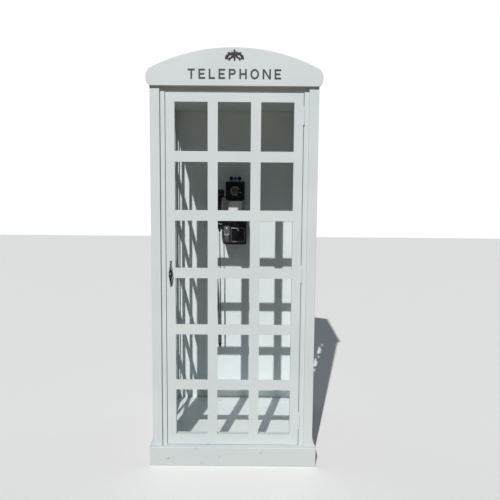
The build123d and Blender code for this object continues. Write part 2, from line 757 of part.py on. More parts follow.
flange = 2.0
hood_radius, hood_low, hood_high = 14.0, 1276.0, 1303.0
hood_axis_y = lower_front + 5
lip_radius, lip_z = 2.6, 1266.0
mouth_half_x, mouth_low, mouth_high = 13.75, 1218.0, 1260.0
with BuildPart() as coin_return_chute:
    with BuildSketch(Plane.XZ.offset(-lower_front)):
        with Locations((chute_x, chute_z)):
            RectangleRounded(2 * chute_half_x, 2 * chute_half_z, 9)
    extrude(amount=flange)
    rod((chute_x, hood_axis_y, (hood_low + hood_high) / 2), hood_radius, hood_high - hood_low, "Z")
    with Locations((chute_x, hood_axis_y, hood_high)):
        Sphere(hood_radius)
    rod((chute_x, lower_front - flange, lip_z), lip_radius, 2 * mouth_half_x + 5, "X")
    block((chute_x - chute_half_x, chute_x + chute_half_x), (lower_front, lower_front + pocket_depth),
          (chute_z - chute_half_z, chute_z + chute_half_z), Mode.SUBTRACT)
    block((chute_x - pocket_half_x, chute_x + pocket_half_x), (lower_front, lower_front + pocket_depth),
          (pocket_low, pocket_high))
    block((chute_x - mouth_half_x, chute_x + mouth_half_x), (lower_front - 5, lower_front + pocket_depth - 2),
          (mouth_low, mouth_high), Mode.SUBTRACT)
write(coin_return_chute, "coin_return_chute")

flap_play = 0.5
flap_pivot_z = mouth_high - 2.0
flap_y = lower_front - flange + 1.8
with BuildPart() as coin_return_flap:
    block((chute_x - mouth_half_x + flap_play, chute_x + mouth_half_x - flap_play),
          (flap_y - 0.8, flap_y + 0.8), (mouth_low + flap_play, flap_pivot_z))
    rod((chute_x, flap_y, flap_pivot_z), 1.5, 2 * (mouth_half_x - flap_play), "X")
write(coin_return_flap, "coin_return_flap")


# ---------------------------------------------------------------- handset and hook
hook_pivot_x = phone_x - upper_half + 16
hook_half_height = 3.5
prong_width = 7.0
prong_offset = 20.0
prong_tip = -141.0
yoke_left, yoke_right = -86.5, -81.0
with BuildPart() as hook_lever:
    level = (hook_z - hook_half_height, hook_z + hook_half_height)
    prong_reach = prong_offset + prong_width / 2
    rod((hook_pivot_x, hook_y + 10, hook_z), 5, 14, "Y")
    block((yoke_right, hook_pivot_x), (hook_y + 6, hook_y + 14), level)
    block((yoke_left, yoke_right), (hook_y - prong_reach, hook_y + prong_reach), level)
    for side in (-1, 1):
        middle = hook_y + side * prong_offset
        across = (middle - prong_width / 2, middle + prong_width / 2)
        block((prong_tip, yoke_left), across, level)
        block((prong_tip, prong_tip + 6), across, (hook_z - hook_half_height, hook_z + 14))
    fillet(edges().filter_by(Axis.Y).group_by(Axis.X)[0], 2)
write(hook_lever, "hook_lever")


head_back = -129.5
ear_cap = (-110.0, -88.0)    # from the seam with the head to the face that meets the ear
mouth_cap = (-101.5, -94.0)
with BuildPart() as handset_body:
    for height, radius, (seam, _) in ((ear_z, ear_radius, ear_cap), (mouth_z, mouth_radius, mouth_cap)):
        rod(((head_back + seam) / 2, handset_y, height), radius, seam - head_back, "X")
    fillet(faces().filter_by(Plane.YZ).group_by(Axis.X)[0].edges(), 10)
    with BuildLine() as grip_line:
        ThreePointArc((handset_grip_x + 6, handset_y, ear_z - 8), (handset_grip_x - 3, handset_y, 1434),
                      (handset_grip_x + 6, handset_y, mouth_z + 8))
    with BuildSketch(Plane(origin=grip_line.line @ 0, z_dir=grip_line.line % 0)):
        Ellipse(15, 14)
    sweep(path=grip_line.line)
    for height, radius, (seam, cap_outer) in ((ear_z, ear_radius, ear_cap), (mouth_z, mouth_radius, mouth_cap)):
        rod(((seam + cap_outer) / 2, handset_y, height), radius - 0.8, cap_outer - seam, "X", Mode.SUBTRACT)
write(handset_body, "handset_body")

caps = ((mouth_z, mouth_radius - 1, mouth_cap), (ear_z, ear_radius - 1, ear_cap))
with BuildPart() as handset_caps:
    for height, radius, (seam, cap_outer) in caps:
        rod(((seam + cap_outer) / 2, handset_y, height), radius, cap_outer - seam, "X")
        fillet(faces().filter_by(Plane.YZ).sort_by(Axis.X)[-1].edges(), 0.6 * (cap_outer - seam))
    for height, radius, (_, cap_outer) in caps:
        for index in range(6):
            angle = radians(60 * index)
            rod((cap_outer, handset_y + 9 * cos(angle), height + 9 * sin(angle)), 1.6, 4, "X", Mode.SUBTRACT)
        rod((cap_outer, handset_y, height), 1.6, 4, "X", Mode.SUBTRACT)
write(handset_caps, "handset_caps")

handset_bottom = mouth_z - mouth_radius
gland_length = 14.0
side_gland_length = 10.0
gland_x = -118.0
with BuildPart() as handset_gland:
    with Locations((gland_x, handset_y, handset_bottom - gland_length / 2 + 1)):
        Cone(6.3, 8, gland_length + 2)
    rod((gland_x, handset_y, mouth_z), mouth_radius, 60, "X", Mode.SUBTRACT)
write(handset_gland, "handset_gland")

exit_y, exit_z = 395.0, 1386.0
housing_side = phone_x - lower_half
exit_x = housing_side - side_gland_length
with BuildPart() as housing_gland:
    with Locations(Location(((housing_side + exit_x) / 2, exit_y, exit_z), (0, -90, 0))):
        Cone(8, 6.3, side_gland_length)
write(housing_gland, "housing_gland")

# The curly cord's outer form: down from the handset in a long narrow bight, and up to the housing.
cord_gap = 0.4
bight_y, bight_z, bight_radius, bight_corners = 358.0, 516.0, 45.0, 5
corner_step = 180 / bight_corners
bight = []
for index in range(bight_corners):
    angle = radians(180 + corner_step * (index + 0.5))
    corner_reach = bight_radius / cos(radians(corner_step / 2))
    bight.append((-117 - 10 * cos(angle), bight_y + corner_reach * cos(angle),
                  bight_z + corner_reach * sin(angle)))
cord_route = [
    (gland_x, handset_y, handset_bottom - gland_length - cord_gap), (-118, 314, 1222), (-116, 312, 1150),
    (-113, 309, 1040), (-112, 307, 905), (-110, 308, 770), (-108, 309, 640), (-107.5, 312, 552), *bight,
    (-126.5, 404, 552), (-128, 404, 640), (-132, 402, 750), (-138, 399, 860), (-147, 396, 980),
    (-156, 393, 1075), (-160, 392, 1190), (-161, 392, 1286), (-160, 393, 1338), (-151, 394, 1367),
    (-130, exit_y, exit_z),
    (exit_x - cord_gap, exit_y, exit_z)]


def corner_radii(points):
    """Each arc takes 0.45 of the shorter run beside its corner."""
    radii = []
    for before, corner, after in zip(points, points[1:], points[2:]):
        arriving, leaving = Vector(*corner) - Vector(*before), Vector(*after) - Vector(*corner)
        half_turn = radians(arriving.get_angle(leaving)) / 2
        radii.append(0.45 * min(arriving.length, leaving.length) / tan(half_turn))
    return radii


radii = corner_radii(cord_route)
with BuildPart() as handset_cord:
    with BuildLine() as cord_line:
        FilletPolyline(*cord_route, radius=radii)
    with BuildSketch(Plane(origin=cord_line.line @ 0, z_dir=cord_line.line % 0)):
        Circle(cord_diameter / 2)
    sweep(path=cord_line.line)
write(handset_cord, "handset_cord")

cord_length = sum(edge.length for edge in cord_line.edges())
section = pi * cord_diameter ** 2 / 4
print("cord radii", [round(radius) for radius in radii], "length", round(cord_length),
      "volume ratio", round(handset_cord.part.volume / (section * cord_length), 4))
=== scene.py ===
"""Looks of the telephone booth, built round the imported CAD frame.  Metres, +Z up, the door faces -Y."""
from math import cos, pi, radians, sin, tau

import bmesh
import bpy
from mathutils import Matrix, Vector


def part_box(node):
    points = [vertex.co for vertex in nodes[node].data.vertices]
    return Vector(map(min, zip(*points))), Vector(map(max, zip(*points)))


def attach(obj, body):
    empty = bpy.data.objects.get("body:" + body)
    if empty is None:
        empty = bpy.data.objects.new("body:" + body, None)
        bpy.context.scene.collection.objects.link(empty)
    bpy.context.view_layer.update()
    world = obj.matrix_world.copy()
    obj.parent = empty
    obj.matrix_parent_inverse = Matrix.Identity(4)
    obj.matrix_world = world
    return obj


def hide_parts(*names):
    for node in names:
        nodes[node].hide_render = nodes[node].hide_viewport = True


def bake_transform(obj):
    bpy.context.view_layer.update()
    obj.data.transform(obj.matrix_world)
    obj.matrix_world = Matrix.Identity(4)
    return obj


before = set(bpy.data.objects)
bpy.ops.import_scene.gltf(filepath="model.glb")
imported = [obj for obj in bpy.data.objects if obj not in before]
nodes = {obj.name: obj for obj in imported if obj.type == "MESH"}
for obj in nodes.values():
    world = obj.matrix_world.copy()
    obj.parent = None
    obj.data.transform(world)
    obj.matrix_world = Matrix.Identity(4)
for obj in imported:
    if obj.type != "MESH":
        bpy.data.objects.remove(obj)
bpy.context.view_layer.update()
scene = bpy.context.scene


# ---------------------------------------------------------------- camera
CAMERA_PLACE = (0.0905, -3.6987, 1.615)
CAMERA_PITCH = 6.51          # degrees below the horizon
CAMERA_ROLL = 0.46
LENS, SENSOR = 42.48, 36.0

camera = bpy.data.objects.new("camera", bpy.data.cameras.new("camera"))
scene.collection.objects.link(camera)
camera.data.lens = LENS
camera.data.sensor_width = SENSOR
pitch, roll = radians(CAMERA_PITCH), radians(CAMERA_ROLL)
ahead = Vector((0, cos(pitch), -sin(pitch)))
level_right = Vector((1, 0, 0))
level_up = level_right.cross(ahead)
right = cos(roll) * level_right + sin(roll) * level_up
up = cos(roll) * level_up - sin(roll) * level_right
turn = Matrix((right, up, -ahead)).transposed()
camera.matrix_world = Matrix.Translation(CAMERA_PLACE) @ turn.to_4x4()
scene.camera = camera


# ---------------------------------------------------------------- small helpers
def link(name, data):
    piece = bpy.data.objects.new(name, data)
    scene.collection.objects.link(piece)
    return piece


def mesh_piece(name, bm, body, material):
    """A new smooth piece from a bmesh, riding on a body, or free when body is None."""
    mesh = bpy.data.meshes.new(name)
    bm.normal_update()
    bm.to_mesh(mesh)
    bm.free()
    mesh.polygons.foreach_set("use_smooth", [True] * len(mesh.polygons))
    mesh.materials.append(material)
    piece = link(name, mesh)
    if body is not None:
        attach(piece, body)
    return piece


def bridge(bm, first, second):
    """A band of faces between two rings with the same number of vertices."""
    for index in range(len(first)):
        following = (index + 1) % len(first)
        bm.faces.new((first[index], first[following], second[following], second[index]))


def tube(bm, points, radii, sides):
    """A round tube with closed ends, one radius per point, carried along without twist."""
    rings = []
    normal = None
    for index, point in enumerate(points):
        before, after = points[max(index - 1, 0)], points[min(index + 1, len(points) - 1)]
        along = (after - before).normalized()
        if normal is None:
            normal = along.orthogonal().normalized()
        normal = (normal - along * normal.dot(along)).normalized()
        across = along.cross(normal)
        rings.append([bm.verts.new(point + radii[index] * (cos(tau * side / sides) * normal
                                                          + sin(tau * side / sides) * across))
                      for side in range(sides)])
    for first, second in zip(rings, rings[1:]):
        bridge(bm, first, second)
    bm.faces.new(list(reversed(rings[0])))
    bm.faces.new(rings[-1])


# ---------------------------------------------------------------- materials
def shader(name, **values):
    """A new material, its node tree and its Principled shader."""
    material = bpy.data.materials.new(name)
    material.use_nodes = True
    tree = material.node_tree
    bsdf = tree.nodes["Principled BSDF"]
    for key, value in values.items():
        bsdf.inputs[key.replace("_", " ")].default_value = value
    return material, tree, bsdf


def add_node(tree, kind, **values):
    made = tree.nodes.new(kind)
    for key, value in values.items():
        if hasattr(made, key):
            setattr(made, key, value)
        else:
            made.inputs[key.replace("_", " ")].default_value = value
    return made


def coordinates(tree, stretch=(1, 1, 1)):
    """Object coordinates, stretched for grain."""
    place = tree.nodes.new("ShaderNodeTexCoord")
    mapping = tree.nodes.new("ShaderNodeMapping")
    mapping.inputs["Scale"].default_value = stretch
    tree.links.new(place.outputs["Object"], mapping.inputs["Vector"])
    return mapping.outputs["Vector"]


def noise(tree, vector, scale, detail, roughness):
    made = add_node(tree, "ShaderNodeTexNoise", Scale=scale, Detail=detail, Roughness=roughness)
    tree.links.new(vector, made.inputs["Vector"])
    return made.outputs["Fac"]


def ramp(tree, factor, stops):
    """Colour or grey stops: (place, colour)."""
    made = tree.nodes.new("ShaderNodeValToRGB")
    elements = made.color_ramp.elements
    while len(elements) < len(stops):
        elements.new(0.5)
    for element, (place, colour) in zip(elements, stops):
        element.position = place
        element.color = (*colour, 1) if hasattr(colour, "__len__") else (colour, colour, colour, 1)
    tree.links.new(factor, made.inputs["Fac"])
    return made.outputs["Color"]


def mix(tree, factor, first, second):
    """One colour blended into another; each may be a socket or a constant."""
    made = tree.nodes.new("ShaderNodeMix")
    made.data_type = "RGBA"
    for socket, value in ((made.inputs[0], factor), (made.inputs[6], first), (made.inputs[7], second)):
        if hasattr(value, "links"):
            tree.links.new(value, socket)
        elif hasattr(value, "__len__"):
            socket.default_value = (*value, 1)
        else:
            socket.default_value = value
    return made.outputs[2]


def bump(tree, bsdf, height, strength, distance):
    made = add_node(tree, "ShaderNodeBump", Strength=strength, Distance=distance)
    tree.links.new(height, made.inputs["Height"])
    tree.links.new(made.outputs["Normal"], bsdf.inputs["Normal"])


def multiply(tree, first, second):
    made = add_node(tree, "ShaderNodeMath", operation="MULTIPLY")
    tree.links.new(first, made.inputs[0])
    tree.links.new(second, made.inputs[1])
    return made.outputs[0]


def rise(tree, low, high):
    """0 below one height and 1 above another."""
    place = tree.nodes.new("ShaderNodeTexCoord")
    split = tree.nodes.new("ShaderNodeSeparateXYZ")
    tree.links.new(place.outputs["Object"], split.inputs[0])
    made = tree.nodes.new("ShaderNodeMapRange")
    made.inputs["From Min"].default_value = low
    made.inputs["From Max"].default_value = high
    tree.links.new(split.outputs["Z"], made.inputs["Value"])
    return made.outputs["Result"]


def shaded(colour, shade):
    """A colour darkened by one factor, or by one factor for each channel."""
    factors = shade if hasattr(shade, "__len__") else (shade, shade, shade)
    return tuple(value * factor for value, factor in zip(colour, factors))


def painted_wood(name, along, colour, worn=0.5, hollow_shade=0.6):
    """Brush-painted timber: faint grain along one axis, brush marks, painted shade darkening the hollows,
    scuffs low down.
    """
    material, tree, bsdf = shader(name, Roughness=0.42)
    stretch = tuple(1.0 if axis == along else 14.0 for axis in "XYZ")
    grain_place = coordinates(tree, stretch)
    plain = coordinates(tree)
    grain = noise(tree, grain_place, 9.0, 6.0, 0.62)
    brush = noise(tree, grain_place, 46.0, 3.0, 0.6)
    cloud = noise(tree, plain, 2.3, 4.0, 0.55)
    marks = noise(tree, plain, 15.0, 5.0, 0.62)
    base = mix(tree, ramp(tree, cloud, ((0.38, 0.0), (0.66, 1.0))),
               shaded(colour, (0.93, 0.945, 0.96)), colour)
    dull = shaded(colour, (0.84, 0.84, 0.82))
    base = mix(tree, ramp(tree, grain, ((0.60, 0.0), (0.78, 0.25))), base, dull)
    # Painted shade: ambient occlusion darkens the paint in hollows and creases. The same dark colour also
    # marks the scuffs low down.
    dirt_and_shade = shaded(colour, (0.50, 0.48, 0.44))
    occlusion = add_node(tree, "ShaderNodeAmbientOcclusion", samples=4, Distance=0.02)
    hollow_shade_mask = ramp(tree, occlusion.outputs["AO"], ((0.25, 0.50 * hollow_shade), (0.70, 0.0)))
    base = mix(tree, hollow_shade_mask, base, dirt_and_shade)
    near_ground = rise(tree, 0.16, 0.02)
    base = mix(tree, multiply(tree, near_ground, ramp(tree, cloud, ((0.3, 0.10), (0.7, 0.24)))), base, dull)
    scuffs = ramp(tree, marks, ((0.625, 0.0), (0.665, worn)))
    base = mix(tree, multiply(tree, near_ground, scuffs), base, dirt_and_shade)
    tree.links.new(base, bsdf.inputs["Base Color"])
    tree.links.new(ramp(tree, brush, ((0.3, 0.36), (0.75, 0.56))), bsdf.inputs["Roughness"])
    height = mix(tree, 0.35, grain, brush)
    bump(tree, bsdf, height, 0.18, 0.0010)
    return material


WHITE = (0.615, 0.664, 0.678)
white = {axis: painted_wood("white_paint_" + axis.lower(), axis, WHITE) for axis in "XYZ"}
# Painted light: the floor and the inside paint are lighter copies of the outside white, standing in for the
# extra light inside the booth.
lit_floor_paint = painted_wood("white_paint_floor_lit", "X", (0.78, 0.83, 0.83), 0.6, 0.8)
lit_inside_paint = painted_wood("white_paint_inside_lit", "Z", (0.70, 0.757, 0.772), 0.4)
charcoal = painted_wood("charcoal_paint", "X", (0.048, 0.056, 0.066), 0.2, 0.2)
soot = painted_wood("black_paint", "X", (0.011, 0.012, 0.015), 0.2, 0.2)


def clear_acrylic():
    """Very clear sheet that lets light straight through, with a soft gloss and faint smears."""
    material, tree, bsdf = shader("clear_acrylic", IOR=1.49)
    bsdf.inputs["Base Color"].default_value = (0.97, 0.99, 0.99, 1)
    bsdf.inputs["Transmission Weight"].default_value = 1.0
    smear = noise(tree, coordinates(tree, (1, 1, 0.3)), 7.0, 5.0, 0.6)
    tree.links.new(ramp(tree, smear, ((0.4, 0.02), (0.7, 0.10))), bsdf.inputs["Roughness"])
    tree.links.new(ramp(tree, smear, ((0.45, 0.012), (0.8, 0.030))), bsdf.inputs["Alpha"])
    return material


def enamel(name, colour, roughness=(0.16, 0.34), scale=420.0, dust=0.05, coat=0.4, metal=0.0, dent=0.3,
           gloss=0.5, painted_shade_below=None):
    """Gloss enamel, moulded plastic or plated metal with fine orange peel, dust and rubbed patches, and
    painted shade below an optional height.
    """
    material, tree, bsdf = shader(name, Metallic=metal)
    bsdf.inputs["Coat Weight"].default_value = coat
    bsdf.inputs["Coat Roughness"].default_value = 0.12
    bsdf.inputs["Specular IOR Level"].default_value = gloss
    plain = coordinates(tree)
    cloud = noise(tree, plain, 22.0, 5.0, 0.6)
    fine = noise(tree, plain, scale, 3.0, 0.6)
    pale = tuple(min(1.0, value * 1.2 + dust) for value in colour)
    base = mix(tree, ramp(tree, cloud, ((0.45, 0.0), (0.8, 0.55))), colour, pale)
    # Painted shade: below the given height the colour falls to 22 per cent, as if the part were in shade.
    if painted_shade_below is not None:
        shade_blend = 0.006
        unshaded_above = rise(tree, painted_shade_below - shade_blend, painted_shade_below + shade_blend)
        base = mix(tree, unshaded_above, shaded(colour, 0.22), base)
    tree.links.new(base, bsdf.inputs["Base Color"])
    tree.links.new(ramp(tree, cloud, ((0.3, roughness[0]), (0.75, roughness[1]))), bsdf.inputs["Roughness"])
    bump(tree, bsdf, fine, dent, 0.0002)
    return material


def forged_iron():
    """Black iron, hammered and slightly rusty in patches."""
    material, tree, bsdf = shader("black_iron", Metallic=0.25)
    plain = coordinates(tree)
    dents = noise(tree, plain, 160.0, 3.0, 0.5)
    rust = noise(tree, plain, 70.0, 5.0, 0.65)
    base = mix(tree, ramp(tree, rust, ((0.62, 0.0), (0.74, 0.35))),
               (0.008, 0.009, 0.010), (0.030, 0.022, 0.018))
    tree.links.new(base, bsdf.inputs["Base Color"])
    tree.links.new(ramp(tree, dents, ((0.3, 0.38), (0.7, 0.62))), bsdf.inputs["Roughness"])
    bump(tree, bsdf, dents, 0.5, 0.0006)
    return material


def brushed(name, colour, along, roughness=0.32):
    """Bare metal with fine scratches along one axis."""
    material, tree, bsdf = shader(name, Metallic=1.0)
    stretch = tuple(1.0 if axis == along else 40.0 for axis in "XYZ")
    scratch = noise(tree, coordinates(tree, stretch), 60.0, 4.0, 0.6)
    cloud = noise(tree, coordinates(tree), 30.0, 4.0, 0.6)
    base = mix(tree, ramp(tree, cloud, ((0.4, 0.0), (0.75, 0.5))), colour, shaded(colour, 0.72))
    tree.links.new(base, bsdf.inputs["Base Color"])
    tree.links.new(ramp(tree, scratch, ((0.3, roughness * 0.7), (0.7, roughness * 1.4))),
                   bsdf.inputs["Roughness"])
    bump(tree, bsdf, scratch, 0.15, 0.0002)
    return material


def card():
    """Faded grey card with faint fibres."""
    material, tree, bsdf = shader("card_stock", Roughness=0.7)
    plain = coordinates(tree)
    fibre = noise(tree, plain, 500.0, 4.0, 0.6)
    stain = noise(tree, plain, 24.0, 4.0, 0.6)
    base = mix(tree, ramp(tree, stain, ((0.4, 0.0), (0.8, 0.6))), (0.66, 0.69, 0.70), (0.55, 0.575, 0.58))
    base = mix(tree, ramp(tree, fibre, ((0.5, 0.0), (0.8, 0.2))), base, (0.78, 0.79, 0.78))
    tree.links.new(base, bsdf.inputs["Base Color"])
    bump(tree, bsdf, fibre, 0.1, 0.0001)
    return material


acrylic = clear_acrylic()
white_metal = enamel("white_metal", (0.70, 0.725, 0.73), (0.34, 0.5), scale=300.0, dust=0.0, coat=0.0)
zinc = brushed("zinc", (0.60, 0.61, 0.62), "Z")
iron = forged_iron()
black = enamel("black_enamel", (0.0025, 0.0038, 0.0065), (0.18, 0.32),
               scale=380.0, dust=0.002, coat=0.15, gloss=0.25)
bakelite = enamel("bakelite", (0.0035, 0.0035, 0.0045), (0.12, 0.28),
                  scale=500.0, dust=0.002, coat=0.3, gloss=0.3)
chrome = enamel("bright_chrome", (0.62, 0.63, 0.65), (0.08, 0.26),
                scale=300.0, dust=0.0, coat=0.0, metal=1.0, dent=0.12)
brass = brushed("dial_brass", (0.74, 0.69, 0.54), "X", 0.5)
aged_brass = brushed("aged_brass", (0.16, 0.14, 0.075), "X", 0.5)
PLATING = {"scale": 260.0, "dust": 0.0, "coat": 0.0, "dent": 0.15}
satin = enamel("satin_metal", (0.36, 0.37, 0.39), (0.16, 0.30), metal=0.95, **PLATING)
dull_plate = enamel("dull_plate", (0.34, 0.34, 0.36), (0.20, 0.36), metal=0.7, **PLATING)
SHADE_RISE = 0.008            # painted shade darkens the casting up to this far above the flap
plated = enamel("plated_casting", (0.40, 0.41, 0.44), (0.20, 0.36), metal=0.92,
                painted_shade_below=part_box("coin_return_flap")[1][2] + SHADE_RISE, **PLATING)
card_stock = card()
cord_black = enamel("cord_rubber", (0.014, 0.014, 0.015), (0.36, 0.55), scale=700.0, dust=0.008, coat=0.1)


# ---------------------------------------------------------------- handset cord
CORD_DIAMETER = 0.012        # over the coil
STRAND = 0.0040              # the wire itself
COIL_PITCH = 0.0052          # closed turns, as the coil hangs at rest
OPEN_PITCH = 0.0140          # turns pulled open by the weight below the handset

BIGHT_X, BIGHT_Y, BIGHT_Z, BIGHT_RADIUS, BIGHT_CORNERS = -0.117, 0.358, 0.516, 0.045, 5
BIGHT_SLANT = 0.010          # its two sides lie this far out of line in X
corner_step = pi / BIGHT_CORNERS
bight = []
for index in range(BIGHT_CORNERS):
    angle = pi + corner_step * (index + 0.5)
    reach = BIGHT_RADIUS / cos(corner_step / 2)
    bight.append((BIGHT_X - BIGHT_SLANT * cos(angle), BIGHT_Y + reach * cos(angle),
                  BIGHT_Z + reach * sin(angle)))
# Down from the handset, round the bight, and up behind to the gland at the side of the lower housing.
cord_route = [
    (-0.118, 0.314, 1.2816), (-0.118, 0.314, 1.222), (-0.116, 0.312, 1.150), (-0.113, 0.309, 1.040),
    (-0.112, 0.307, 0.905), (-0.110, 0.308, 0.770), (-0.108, 0.309, 0.640), (-0.1075, 0.312, 0.552), *bight,
    (-0.1265, 0.404, 0.552), (-0.128, 0.404, 0.640), (-0.132, 0.402, 0.750), (-0.138, 0.399, 0.860),
    (-0.147, 0.396, 0.980), (-0.156, 0.393, 1.075), (-0.160, 0.392, 1.190), (-0.161, 0.392, 1.286),
    (-0.160, 0.393, 1.338), (-0.151, 0.394, 1.367), (-0.130, 0.395, 1.386), (-0.1024, 0.395, 1.386)]


def route_line(points):
    """Points read from the smooth NURBS line that the route controls."""
    curve = bpy.data.curves.new("cord_line", "CURVE")
    curve.dimensions = "3D"
    curve.resolution_u = 40
    spline = curve.splines.new("NURBS")
    spline.points.add(len(points) - 1)
    for point, place in zip(spline.points, points):
        point.co = (*place, 1)
    spline.order_u = 3
    spline.use_endpoint_u = True
    guide = bpy.data.objects.new("cord_line", curve)
    scene.collection.objects.link(guide)
    bpy.context.view_layer.update()
    mesh = bpy.data.meshes.new_from_object(guide.evaluated_get(bpy.context.evaluated_depsgraph_get()))
    line = [vertex.co.copy() for vertex in mesh.vertices]
    bpy.data.objects.remove(guide)
    bpy.data.meshes.remove(mesh)
    return line


def lengths_along(line):
    total = [0.0]
    for before, after in zip(line, line[1:]):
        total.append(total[-1] + (after - before).length)
    return total


def helix(line, radius, pitch_at, steps_per_turn=14, lead=0.012):
    """A helix round a line.  It grows out of the line at both ends, and its pitch follows pitch_at."""
    travelled = lengths_along(line)
    length = travelled[-1]
    normal = (line[1] - line[0]).normalized().orthogonal().normalized()
    points, place, angle, segment = [], 0.0, 0.0, 0
    while place < length:
        while segment < len(line) - 2 and travelled[segment + 1] < place:
            segment += 1
        along = (line[segment + 1] - line[segment]).normalized()
        share = (place - travelled[segment]) / (travelled[segment + 1] - travelled[segment])
        centre = line[segment].lerp(line[segment + 1], share)
        normal = (normal - along * normal.dot(along)).normalized()
        across = along.cross(normal)
        grown = min(1.0, place / lead, (length - place) / lead)
        points.append(centre + radius * grown * (cos(angle) * normal + sin(angle) * across))
        angle += tau / steps_per_turn
        place += pitch_at(place / length) / steps_per_turn
    points.append(line[-1])
    return points


CLOSED_FROM, CLOSED_TO = 0.32, 0.6      # the shares of the length where the turns lie close


def cord_pitch(share):
    """Open below the handset, closed in the bight, and slightly open again towards the housing."""
    if share < CLOSED_FROM:
        return OPEN_PITCH + (COIL_PITCH - OPEN_PITCH) * share / CLOSED_FROM
    return COIL_PITCH + 0.25 * (OPEN_PITCH - COIL_PITCH) * max(0.0, share - CLOSED_TO) / (1 - CLOSED_TO)


cord_line = route_line(cord_route)
coil = helix(cord_line, (CORD_DIAMETER - STRAND) / 2, cord_pitch)
bm = bmesh.new()
tube(bm, coil, [STRAND / 2] * len(coil), sides=8)
cord = mesh_piece("handset_cord_coil", bm, None, cord_black)
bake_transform(cord)
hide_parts("handset_cord")


# ---------------------------------------------------------------- wrought door pull
def wrought_pull():
    """Birdcage pull: four twisted rods between collars, stems bent back to two leaf-shaped feet."""
    low, high = (Vector(corner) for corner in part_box("pull_handle"))
    centre = (low + high) / 2
    cage_half, belly, strand = 0.037, 0.0062, 0.0026
    tip_reach = 0.0011           # of the rods from the axis, where they meet
    stem_end, stem_thin, foot_inset = 0.0038, 0.0027, 0.0107
    rods, cage_turns, steps = 4, 0.85, 36
    axis_y = low.y + belly + strand + 0.0016
    axis = Vector((centre.x, axis_y, centre.z))
    bm = bmesh.new()
    for rod in range(rods):
        points = []
        for step in range(steps + 1):
            share = step / steps
            swell = sin(pi * share ** 1.12) ** 1.2      # fullest a little below the middle
            turn = tau * (rod / rods + cage_turns * share)
            reach = tip_reach + belly * swell
            points.append(axis + Vector((reach * cos(turn), reach * sin(turn),
                                         cage_half * (1 - 2 * share))))
        tube(bm, points, [strand] * len(points), sides=8)
    back = high.y
    half_height = (high.z - low.z) / 2
    for end in (-1, 1):
        # Out of the cage, then bent back to the foot.
        stem = [(0, 0, cage_half - 0.004), (0, 0, cage_half + 0.007), (0, 0.0012, cage_half + 0.0130),
                (0, 0.006, cage_half + 0.0175), (0, back - axis_y - 0.002, cage_half + 0.0190)]
        points = [axis + Vector((x, y, end * z)) for x, y, z in stem]
        tube(bm, points, [stem_end, stem_thin, stem_thin, stem_thin, stem_thin * 1.1], sides=12)
        for height, size in ((cage_half - 0.001, 0.0048), (cage_half + 0.003, 0.0039)):
            bmesh.ops.create_uvsphere(bm, u_segments=16, v_segments=10, radius=size,
                                      matrix=Matrix.Translation(axis + Vector((0, 0, end * height)))
                                      @ Matrix.Diagonal((1, 1, 0.5, 1)))
        foot_middle = axis.z + end * (half_height - foot_inset)
        # Half the leaf's outline from its tip to its root, in X and Z.
        rim = [(0, 0.0105), (0.0040, 0.0100), (0.0066, 0.0072), (0.0058, 0.0030), (0.0036, -0.0020),
               (0.0030, -0.0060), (0.0026, -0.0095), (0, -0.0108)]
        outline = rim + [(-x, z) for x, z in reversed(rim[1:-1])]
        layers = []
        for depth, shrink in ((0.0, 1.0), (-0.0016, 1.0), (-0.0030, 0.78), (-0.0036, 0.35)):
            layers.append([bm.verts.new((axis.x + x * shrink, back + depth, foot_middle + end * z * shrink))
                           for x, z in outline])
        for first, second in zip(layers, layers[1:]):
            bridge(bm, first, second)
        bm.faces.new(layers[0])
        bm.faces.new(layers[-1])
    bmesh.ops.recalc_face_normals(bm, faces=bm.faces)
    return mesh_piece("wrought_pull", bm, "door", iron)


pull = wrought_pull()
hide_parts("pull_handle")


# ---------------------------------------------------------------- telephone trim
def rounded_loop(half_x, half_z, corner, steps=6):
    """Points round a rounded rectangle in X and Z."""
    points = []
    for quarter in range(4):
        side_x, side_z = ((1, 1), (-1, 1), (-1, -1), (1, -1))[quarter]
        for step in range(steps + 1):
            turn = pi / 2 * (quarter + step / steps)
            points.append(Vector((side_x * (half_x - corner) + corner * cos(turn), 0,
                                  side_z * (half_z - corner) + corner * sin(turn))))
    return points


def ring_tube(bm, points, radius, sides=8):
    """A closed round tube through points that lie in an X-Z plane."""
    rings = []
    for index, point in enumerate(points):
        before, after = points[index - 1], points[(index + 1) % len(points)]
        along = (after - before).normalized()
        outward = Vector((0, -1, 0))
        across = along.cross(outward)
        rings.append([bm.verts.new(point + radius * (cos(tau * side / sides) * outward
                                                    + sin(tau * side / sides) * across))
                      for side in range(sides)])
    for index, first in enumerate(rings):
        bridge(bm, first, rings[(index + 1) % len(rings)])


def vault_rim():
    """Bright bead round the front of the vault door."""
    low, high = (Vector(corner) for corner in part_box("vault_door"))
    centre = (low + high) / 2
    bm = bmesh.new()
    inset, corner, bead, sunk = 0.0036, 0.004, 0.0019, 0.0002
    loop = rounded_loop((high.x - low.x) / 2 - inset, (high.z - low.z) / 2 - inset, corner)
    ring_tube(bm, [Vector((centre.x, low.y + sunk, centre.z)) + point for point in loop], bead)
    bmesh.ops.recalc_face_normals(bm, faces=bm.faces)
    rim = mesh_piece("vault_door_rim", bm, "vault", dull_plate)


